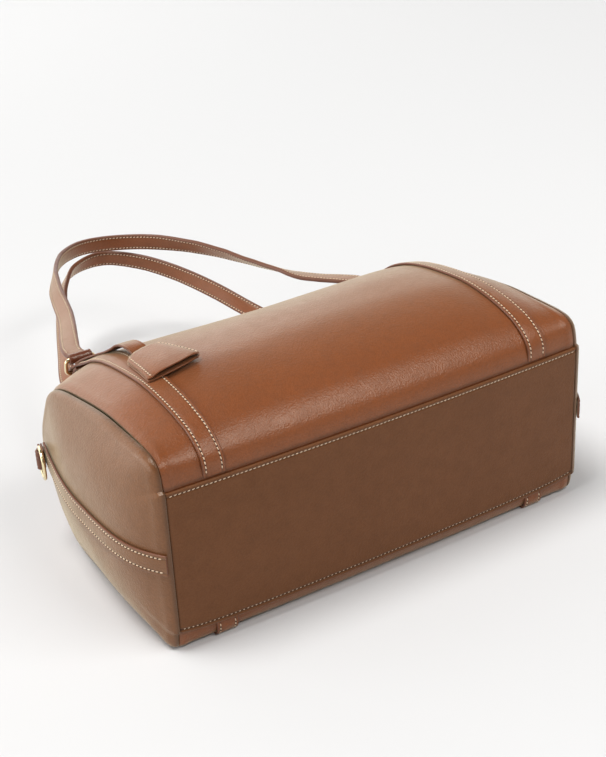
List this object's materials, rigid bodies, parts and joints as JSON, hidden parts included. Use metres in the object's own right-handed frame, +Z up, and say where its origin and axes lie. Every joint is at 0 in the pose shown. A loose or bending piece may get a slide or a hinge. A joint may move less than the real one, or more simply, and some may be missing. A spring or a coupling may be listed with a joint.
{
  "type": "boston bag",
  "caption": "Leather boston bag lying on its back face, with two long loop handles on rings, bands round the body, gusset straps with D-rings, and a key bell.",
  "frame": {"origin": "middle of the flat stretch of the back face that the lying bag rests on", "axes": "+X along the bag to its right gusset, +Y from the bottom panel to the zip, +Z up from the floor through the front face"},
  "size_m": [0.3414, 0.4294, 0.1508],
  "materials": {
    "body_leather": "smooth brown leather with a soft sheen and a fine grain",
    "bottom_leather": "the same leather on the bottom panel, a little darker and flatter",
    "trim_leather": "dark brown rolled leather with painted edges",
    "gold_metal": "pale gold plating, polished",
    "zip_tape": "woven dark brown tape with metal teeth"
  },
  "bodies": {
    "bag": {"front_panel": "body_leather", "back_panel": "body_leather", "gusset_left": "body_leather", "gusset_right": "body_leather", "band_front_left": "body_leather", "band_front_right": "body_leather", "band_back_left": "body_leather", "band_back_right": "body_leather", "handle_front": "body_leather", "handle_back": "body_leather", "gusset_strap_left": "body_leather", "gusset_strap_right": "body_leather", "bell_back": "body_leather", "bell_front": "body_leather", "bell_strap": "body_leather", "bottom_panel": "bottom_leather", "handle_keeper_front_left": "trim_leather", "handle_keeper_front_right": "trim_leather", "handle_keeper_back_left": "trim_leather", "handle_keeper_back_right": "trim_leather", "d_ring_loop_left": "trim_leather", "d_ring_loop_right": "trim_leather", "handle_ring_front_left": "gold_metal", "handle_ring_front_right": "gold_metal", "handle_ring_back_left": "gold_metal", "handle_ring_back_right": "gold_metal", "zip_slider": "gold_metal", "zip": "zip_tape"},
    "left_ring": {"d_ring_left": "gold_metal"},
    "right_ring": {"d_ring_right": "gold_metal"}
  },
  "joints": [
    {"name": "left_ring_swing", "type": "hinge", "parent": "bag", "child": "left_ring", "pos_m": [-0.16373, 0.07678, 0.0635], "axis": [0, 0, -1], "range_deg": [0, 160]},
    {"name": "right_ring_swing", "type": "hinge", "parent": "bag", "child": "right_ring", "pos_m": [0.16373, 0.07678, 0.0635], "axis": [0, 0, 1], "range_deg": [0, 160]}
  ]
}
